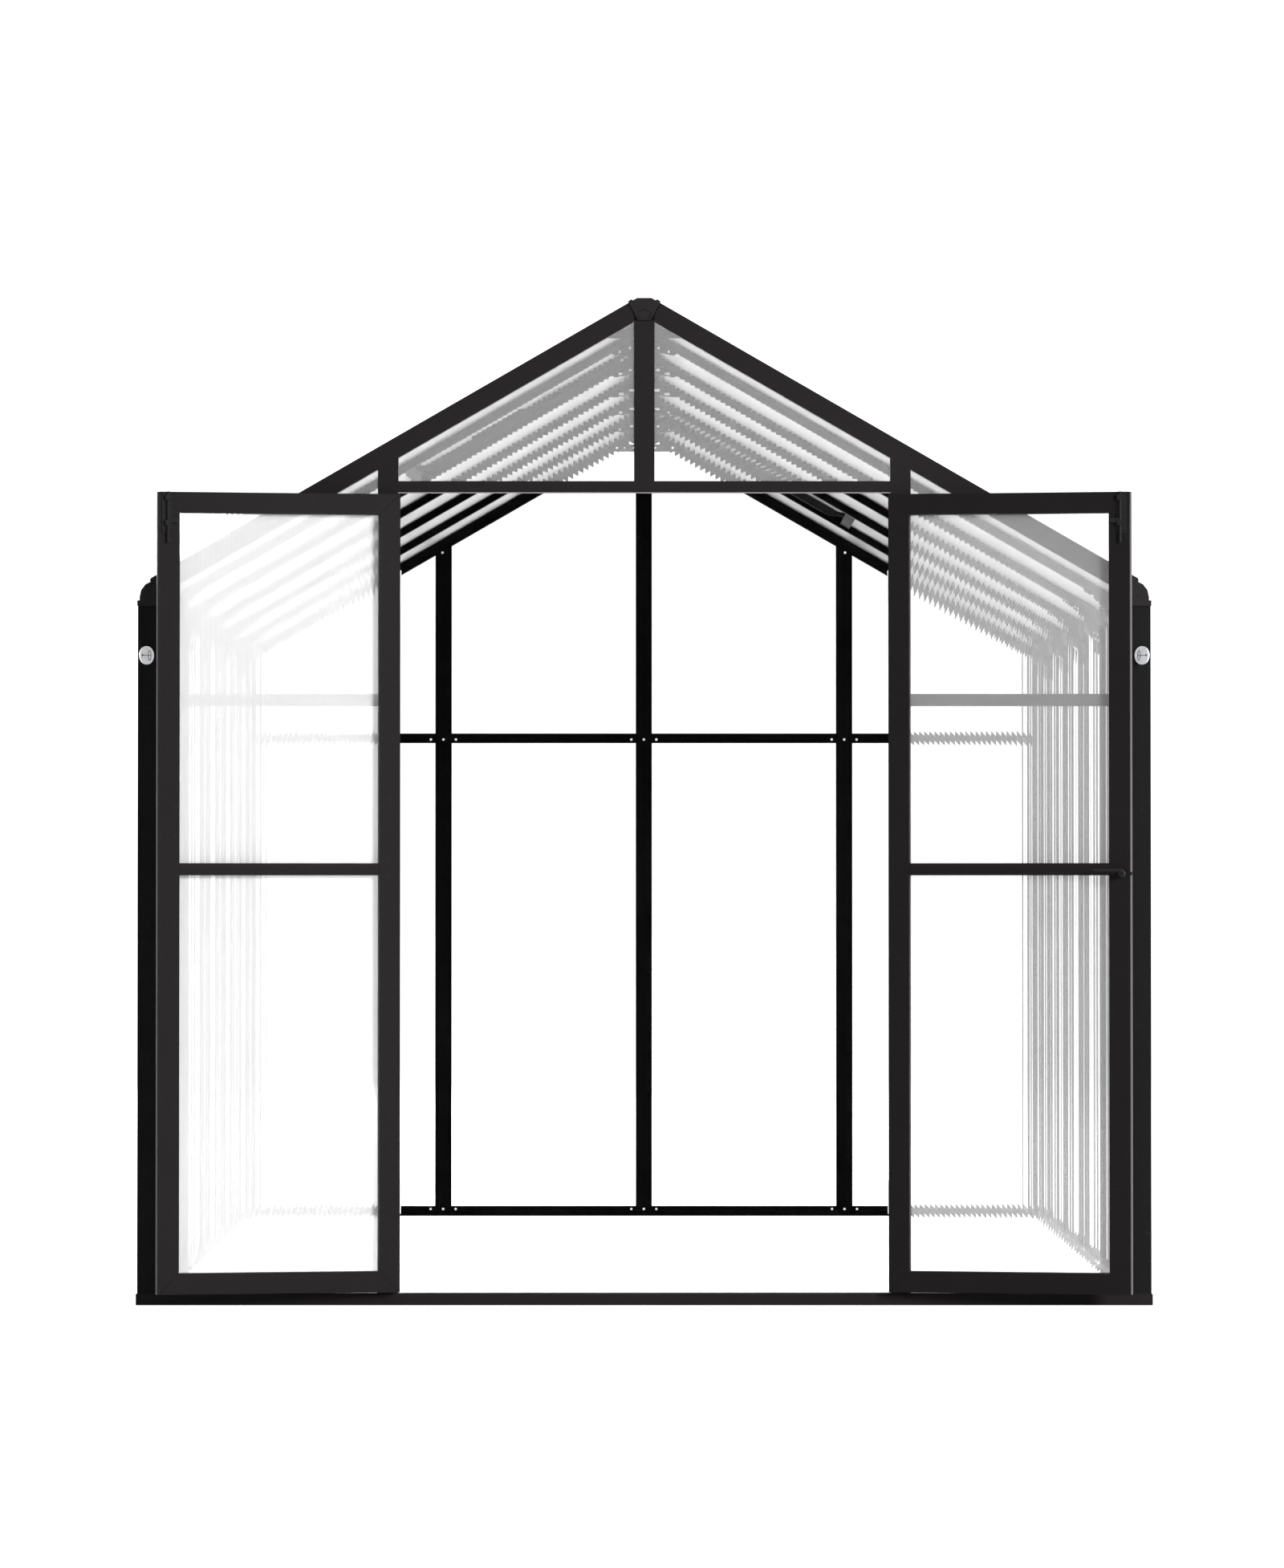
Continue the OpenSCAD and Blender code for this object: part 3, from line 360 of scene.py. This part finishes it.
def twin_wall(name, axis, clear, hollow, sag=0.0, ribs=0.955, frost=0.0, bend=1.42):
    """Fluted clear sheet. The axis crosses its flutes, hollow and sag tilt its outer
    skin, ribs is the tone of its ribs and bend its refractive index. Seen along its
    surface it is as rough as frost says."""
    material, tree, shader, place = new_finish(name)
    spot = add(tree, "ShaderNodeSeparateXYZ", {"Vector": place}).outputs
    surface = add(tree, "ShaderNodeNewGeometry").outputs
    flute = worked_out(tree, worked_out(tree, spot[axis], "DIVIDE", flute_pitch), "FRACT")
    across = ranged(tree, flute, -1.0, 1.0)
    outside = worked_out(tree, 1.0, "SUBTRACT", surface["Backfacing"])
    tilt = worked_out(tree, across, "MULTIPLY", outside)
    fall = worked_out(tree, worked_out(tree, tilt, "MULTIPLY", sag), "MULTIPLY", spot["X"])
    lean = add(tree, "ShaderNodeCombineXYZ", {
               axis: worked_out(tree, tilt, "MULTIPLY", hollow), "Z": fall})
    leaning = add(tree, "ShaderNodeVectorMath", {0: surface["Normal"],
                  1: lean.outputs["Vector"]}, operation="ADD")
    normal = add(tree, "ShaderNodeVectorMath", {0: leaning.outputs["Vector"]},
                 operation="NORMALIZE")
    on_rib = ranged(tree, worked_out(tree, across, "ABSOLUTE"), 0.0, 1.0, 0.9, 0.98)
    side_on = add(tree, "ShaderNodeLayerWeight").outputs["Facing"]
    frosted = ranged(tree, side_on, 0.0, frost, 0.8, 0.92)
    gloss = ranged(tree, noise(tree, place, 1.7, 4.0), 0.0, 0.006)
    feed(shader, {"Base Color": blend(tree, on_rib, (0.99, 0.99, 0.99, 1),
                                      (ribs, ribs, ribs + 0.005, 1)),
                  "Roughness": worked_out(tree, gloss, "ADD", frosted),
                  "IOR": bend,
                  "Transmission Weight": clear,
                  "Coat Weight": 0.15,
                  "Coat Roughness": 0.05,
                  "Normal": normal.outputs["Vector"]})
    return material


finish_nodes(twin_wall("twin_wall_upright", "X", 0.92, 0.0098), "front_sheets",
             "back_sheets")
finish_nodes(twin_wall("twin_wall_right_leaf", "X", 0.92, 0.02, sag=-0.0065),
             "right_door_sheets")
finish_nodes(twin_wall("twin_wall_left_leaf", "X", 0.62, 0.02, sag=-0.0065),
             "left_door_sheets")
finish_nodes(twin_wall("twin_wall_roof", "Y", 0.94, 0.0098, ribs=0.86, frost=0.45),
             "roof_sheets_left", "roof_sheets_right", "vent_left_sheet",
             "vent_right_sheet")
# The side walls are looked along, not through, so their sheets hardly bend the view.
finish_nodes(twin_wall("twin_wall_side", "Y", 0.94, 0.0098, ribs=0.86, bend=1.003),
             "side_sheets_left", "side_sheets_right")

# ---- Moulded caps ----
# Black glass-filled nylon caps close the corners of the eaves and the ends of the
# ridge. They have a fine spark-eroded grain and are pressed and screwed on. Near-black
# beads where a cap meets the bars and round the recess in a ridge cap's face are painted
# shadow lines of those gaps and grooves.
def moulded_plastic(name, colour):
    """Grained nylon or enamel."""
    material, tree, shader, place = new_finish(name)
    flow = noise(tree, place, 14.0, 3.0)
    grain = noise(tree, place, 900.0, 3.0)
    feed(shader, {"Base Color": blend(tree, flow, shade(colour, 0.8), shade(colour, 1.2)),
                  "Roughness": ranged(tree, flow, 0.4, 0.6),
                  "Specular IOR Level": 0.06,
                  "Normal": bump(tree, grain, 0.0001, 0.5)})
    return material


def bead(a, b, way, width, proud):
    """A low bead from a to b on a face that looks along way, narrower at its top."""
    a, b, way = Vector(a), Vector(b), Vector(way).normalized()
    side = (b - a).cross(way).normalized() * width / 2
    sunk = way * 0.0001
    corners = []
    for end in (a, b):
        corners += [end - side - sunk, end - side * 0.55 + way * proud,
                    end + side * 0.55 + way * proud, end + side - sunk]
    faces = [(3, 2, 1, 0), (4, 5, 6, 7)]
    faces += [(k, (k + 1) % 4, (k + 1) % 4 + 4, k + 4) for k in range(4)]
    return corners, faces


def fine_piece(name, solids, body, finish, place=Matrix()):
    """One piece of several closed solids, each its corners and its faces."""
    corners, faces = [], []
    for points, sides in solids:
        faces += [tuple(i + len(corners) for i in face) for face in sides]
        corners += [place @ Vector(p) for p in points]
    mesh = bpy.data.meshes.new(name)
    mesh.from_pydata(corners, [], faces)
    shape = bmesh.new()
    shape.from_mesh(mesh)
    bmesh.ops.recalc_face_normals(shape, faces=shape.faces)
    shape.to_mesh(mesh)
    shape.free()
    mesh.materials.append(finish)
    piece = bpy.data.objects.new(name, mesh)
    bpy.context.scene.collection.objects.link(piece)
    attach(piece, body)
    return piece


cap_finish = moulded_plastic("cap_nylon", (0.0105, 0.0094, 0.0100))
# This near-black is painted shadow, for the beads in the gaps and grooves of the caps.
shadow_line_finish = moulded_plastic("cap_shadow_line", (0.0012, 0.0012, 0.0012))
finish_nodes(cap_finish, "eave_caps", "ridge_caps")
post_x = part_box("corner_posts")[1][0]
crown_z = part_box("ridge_caps")[1][2]
skirt_z = crown_z - 0.0545
collar_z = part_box("eave_caps")[0][2] - 0.0008
wall_in = 0.003
recess_in = 0.0015
# Across and up: the outline of the shallow recess in a ridge cap's face.
recess = [(-0.013, crown_z - 0.0505), (-0.017, crown_z - 0.035), (0, crown_z - 0.0266),
          (0.017, crown_z - 0.035), (0.013, crown_z - 0.0505)]
# The beads below are painted shadow lines along the cap recesses and the cap edges.
shadow_lines = []
cap_screws = []
for y, way in ((0, front), (gable_y, back)):
    wall = y - way.y * wall_in
    recess_y = y - way.y * recess_in
    for (xa, za), (xb, zb) in zip(recess, recess[1:] + recess[:1]):
        shadow_lines.append(bead((xa, recess_y, za), (xb, recess_y, zb), way, 0.0022, 0.0009))
    for side in (-1, 1):
        shadow_lines.append(bead((side * 0.016, wall, skirt_z),
                          (side * 0.0375, wall, crown_z - 0.0145), way, 0.003, 0.0012))
        shadow_lines.append(bead((side * corner_x, wall, collar_z),
                          (side * post_x, wall, collar_z), way, 0.0024, 0.001))
        cap_screws.append(((side * side_in_x, y, eave_z + 0.023), way))
        cap_screws.append(((side * 0.009, recess_y, crown_z - 0.0455), way))
    shadow_lines.append(bead((-0.0155, wall, skirt_z), (0.0155, wall, skirt_z), way, 0.002,
                      0.001))
fine_piece("cap_shadow_lines", shadow_lines, "greenhouse", shadow_line_finish)
heads("cap_screws", cap_screws, "greenhouse", "black_hardware", cap_finish,
      Radius=0.0025, Height=0.0012)

# ---- Roof vents ----
# A lid of the same bars and sheet closes each vent and rests on a sill between two
# rafters. A wax cylinder between two black arms, hooked to the sill, would lift it.
# The vent frames take the darker copy of the coat, which is painted shade.
finish_nodes(shaded_inner_coat, "vent_left_frame", "vent_right_frame")
opener_finish = moulded_plastic("opener_black", (0.006, 0.006, 0.006))
finish_nodes(opener_finish, "vent_left_opener", "vent_right_opener")

# ---- Doors ----
# Two leaves of mitred bars with a butted mid rail, glazed with the same sheet. The
# mitres and butts show as near-black hairlines, joint lines that also stand in for the
# shade in their gaps. A grey lip seal runs up each free edge and one lies under the header.
def shut_box(name, place):
    """A leaf node's box with its leaf swung shut."""
    back_again = place.inverted()
    spots = [back_again @ v.co for v in nodes[name].data.vertices]
    return [Vector([pick(p[i] for p in spots) for i in range(3)]) for pick in (min, max)]


def seal_rubber(name, colour):
    """Matt lip seal."""
    material, tree, shader, place = new_finish(name)
    grain = noise(tree, place, 300.0, 3.0)
    feed(shader, {"Base Color": blend(tree, grain, shade(colour, 0.88),
                                      shade(colour, 1.1)),
                  "Roughness": 0.7,
                  "Specular IOR Level": 0.1,
                  "Normal": bump(tree, grain, 0.0002, 0.4)})
    return material


# The left leaf's coat is a lighter copy and the right leaf's a darker copy of the charcoal coat:
# painted light and painted shade.
finish_nodes(powder_coat("charcoal_coat_left_leaf_lit", (0.0115, 0.0103, 0.0109), 0.03),
             "left_door_stiles", "left_door_rails")
finish_nodes(powder_coat("charcoal_coat_right_leaf_shaded", (0.0078, 0.0069, 0.0073), 0.02),
             "right_door_stiles", "right_door_rails")
finish_nodes(seal_rubber("seal_grey", (0.11, 0.108, 0.108)), "left_door_edge_seal",
             "right_door_edge_seal")
finish_nodes(seal_rubber("seal_grey_head", (0.2, 0.195, 0.197)), "door_head_seal")

hinge = next(joint for joint in frame["joints"] if joint["child"] == "right_door")
pin = Matrix.Translation(hinge["pos_m"])
opening = Matrix.Rotation(math.radians(-hinge["range_deg"][1]), 4, Vector(hinge["axis"]))
swing = pin @ opening @ pin.inverted()
leaf_place = {"right_door": swing, "left_door": Matrix.Scale(-1, 4, (1, 0, 0)) @ swing}
leaf_low, leaf_high = shut_box("right_door_stiles", swing)
leaf_bar = 0.05
mid_rail_z = 1.0455
mid_rail_half = 0.0142
line_w = 0.0014
line_proud = 0.00012
# This near-black serves the joint lines, which also stand for the shade in their gaps, the
# painted shadow rings of the handle, and the handle's screw and latch tip.
joints_shadows_and_small_parts_black = moulded_plastic("joints_shadows_and_small_parts_black_finish", (0.0015, 0.0015, 0.0015))
for leaf, place in leaf_place.items():
    hairlines = []
    for y, way in ((leaf_low.y, front), (leaf_high.y, back)):
        for x, dx in ((leaf_low.x, leaf_bar), (leaf_high.x, -leaf_bar)):
            for z, dz in ((leaf_low.z, leaf_bar), (leaf_high.z, -leaf_bar)):
                hairlines.append(bead((x + dx * 0.02, y, z + dz * 0.02),
                                      (x + dx * 0.98, y, z + dz * 0.98), way, line_w,
                                      line_proud))
            hairlines.append(bead((x + dx, y, mid_rail_z - mid_rail_half),
                                  (x + dx, y, mid_rail_z + mid_rail_half), way, line_w,
                                  line_proud))
    fine_piece(leaf + "_joint_lines", hairlines, leaf, joints_shadows_and_small_parts_black, place)

# ---- Hinges and slide bolts ----
# Pressed hinges of bright zinc-plated steel and slide bolts in black enamelled zinc.
# Countersunk screws hold the hinge plates, and small pan heads the bolt plates.
def leaf_heads(name, leaf, spots, slot, finish, **sizes):
    """Heads on a leaf, their spots drawn on the shut right leaf."""
    place = leaf_place[leaf]
    heads(name, [(place @ Vector(spot), place.to_3x3() @ Vector(way))
                 for spot, way in spots], leaf, slot, finish, **sizes)


hardware_finish = moulded_plastic("hardware_black", (0.0095, 0.009, 0.0092))
finish_nodes(zinc_finish, "jamb_hinges", "left_door_hinges", "right_door_hinges")
finish_nodes(hardware_finish, "left_door_bolt", "right_door_bolt")
plate_t = 0.002
hinge_h = 0.079
hinge_end = 0.012
hinge_screw_y = 0.0125
hinge_low_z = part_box("jamb_hinges")[0][2]
hinge_high_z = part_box("jamb_hinges")[1][2] - hinge_h
hinge_screw_zs = [z + dz for z in (hinge_low_z, hinge_high_z)
                  for dz in (hinge_end, hinge_h / 2, hinge_h - hinge_end)]
heads("jamb_hinge_screws", [((side * (door_x - plate_t), hinge_screw_y, z), (-side, 0, 0))
                            for side in (-1, 1) for z in hinge_screw_zs],
      "greenhouse", "zinc_plate", zinc_finish,
      Radius=0.003, Height=0.0004, Crown=0.9, Recess=0.55)
for leaf in leaf_place:
    leaf_heads(leaf + "_hinge_screws", leaf,
               [((leaf_high.x + plate_t, hinge_screw_y, z), (1, 0, 0))
                for z in hinge_screw_zs],
               "zinc_plate", zinc_finish,
               Radius=0.003, Height=0.0003, Crown=0.9, Recess=0.55)
    leaf_heads(leaf + "_bolt_screws", leaf,
               [((leaf_low.x + 0.0105, leaf_high.y + plate_t, leaf_high.z - dz), back)
                for dz in (0.005, 0.049, 0.093)],
               "black_hardware", hardware_finish, Radius=0.0026, Height=0.0012)

# ---- Lever handle ----
# A black enamelled lever on each face of the right leaf turns one latch. A near-black
# ring at the foot of its rose is a painted shadow, and a small ring at its hub is a painted
# groove shadow round a screw; the latch's bevelled tip stands out of the stile beside it.
def ring(centre, way, radius, thick, tall=1.0, sides=24):
    """A round wire ring, or an oval one where tall is over 1, lying across way."""
    centre, way, up = Vector(centre), Vector(way).normalized(), Vector((0, 0, 1))
    across = up.cross(way).normalized()
    wire = 6
    corners, faces = [], []
    for i in range(sides):
        turn = math.tau * i / sides
        out = across * math.cos(turn) + up * math.sin(turn)
        hub = centre + (across * math.cos(turn) + up * math.sin(turn) * tall) * radius
        ahead = (i + 1) % sides
        for k in range(wire):
            bend = math.tau * k / wire
            corners.append(hub + (out * math.cos(bend) + way * math.sin(bend)) * thick)
            beyond = (k + 1) % wire
            faces.append((i * wire + k, i * wire + beyond, ahead * wire + beyond,
                          ahead * wire + k))
    return corners, faces


finish_nodes(hardware_finish, "right_door_handle")
lever = Vector((leaf_low.x + 0.018, 0, 1.035))
lever_out = 0.042
for tag, y, way in (("outer", leaf_low.y, front), ("inner", leaf_high.y, back)):
    at = lever + Vector((0, y, 0))
    # The two rings are painted shadow: one at the rose's foot, one in the groove of the hub.
    fine_piece("handle_shadow_rings_" + tag, [
        ring(at + way * 0.0002, way, 0.0113, 0.0008),
        ring(at + way * lever_out, way, 0.0046, 0.0005)],
        "right_door", joints_shadows_and_small_parts_black, swing)
    leaf_heads("handle_screw_" + tag, "right_door", [(at + way * lever_out, way)],
               "black_hardware", joints_shadows_and_small_parts_black,
               Radius=0.0022, Height=0.0005, Crown=0.9, Recess=0.6)
tip_x = leaf_low.x - 0.0038
latch_outline = [(leaf_low.x, 0.012), (tip_x, 0.0165), (tip_x, 0.0275),
                 (leaf_low.x, 0.0275)]
latch = [(x, y, lever.z + dz) for x, y in latch_outline for dz in (-0.004, 0.004)]
latch_faces = [(0, 2, 4, 6), (1, 7, 5, 3), (0, 1, 3, 2), (2, 3, 5, 4), (4, 5, 7, 6),
               (6, 7, 1, 0)]
fine_piece("latch_tip", [(latch, latch_faces)], "right_door",
           joints_shadows_and_small_parts_black, swing)

# ---- Door catches ----
# A zinc-plated disc on each front corner post holds an open leaf. A spring clip of
# bent wire is riveted to it: a tall eye, a straight back and a small eye.
finish_nodes(zinc_finish, "door_catches")
clip_finish = moulded_plastic("catch_spring_steel", (0.05, 0.048, 0.048))
catch_z = (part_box("door_catches")[0][2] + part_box("door_catches")[1][2]) / 2
clips = []
for side in (-1, 1):
    way = Vector((-side, -1, 0)).normalized()
    along = Vector((0, 0, 1)).cross(way) * side
    disc = Vector((side * (post_x - 0.0215), -0.015, catch_z)) + way * 0.003
    clips.append(ring(disc - along * 0.008 + way * 0.0004, way, 0.0042, 0.0007, 2.9))
    clips.append(bead(disc - along * 0.012, disc + along * 0.014, way, 0.0016, 0.0008))
    clips.append(ring(disc + along * 0.014, way, 0.0018, 0.0008, sides=12))
fine_piece("catch_clips", clips, "greenhouse", clip_finish)
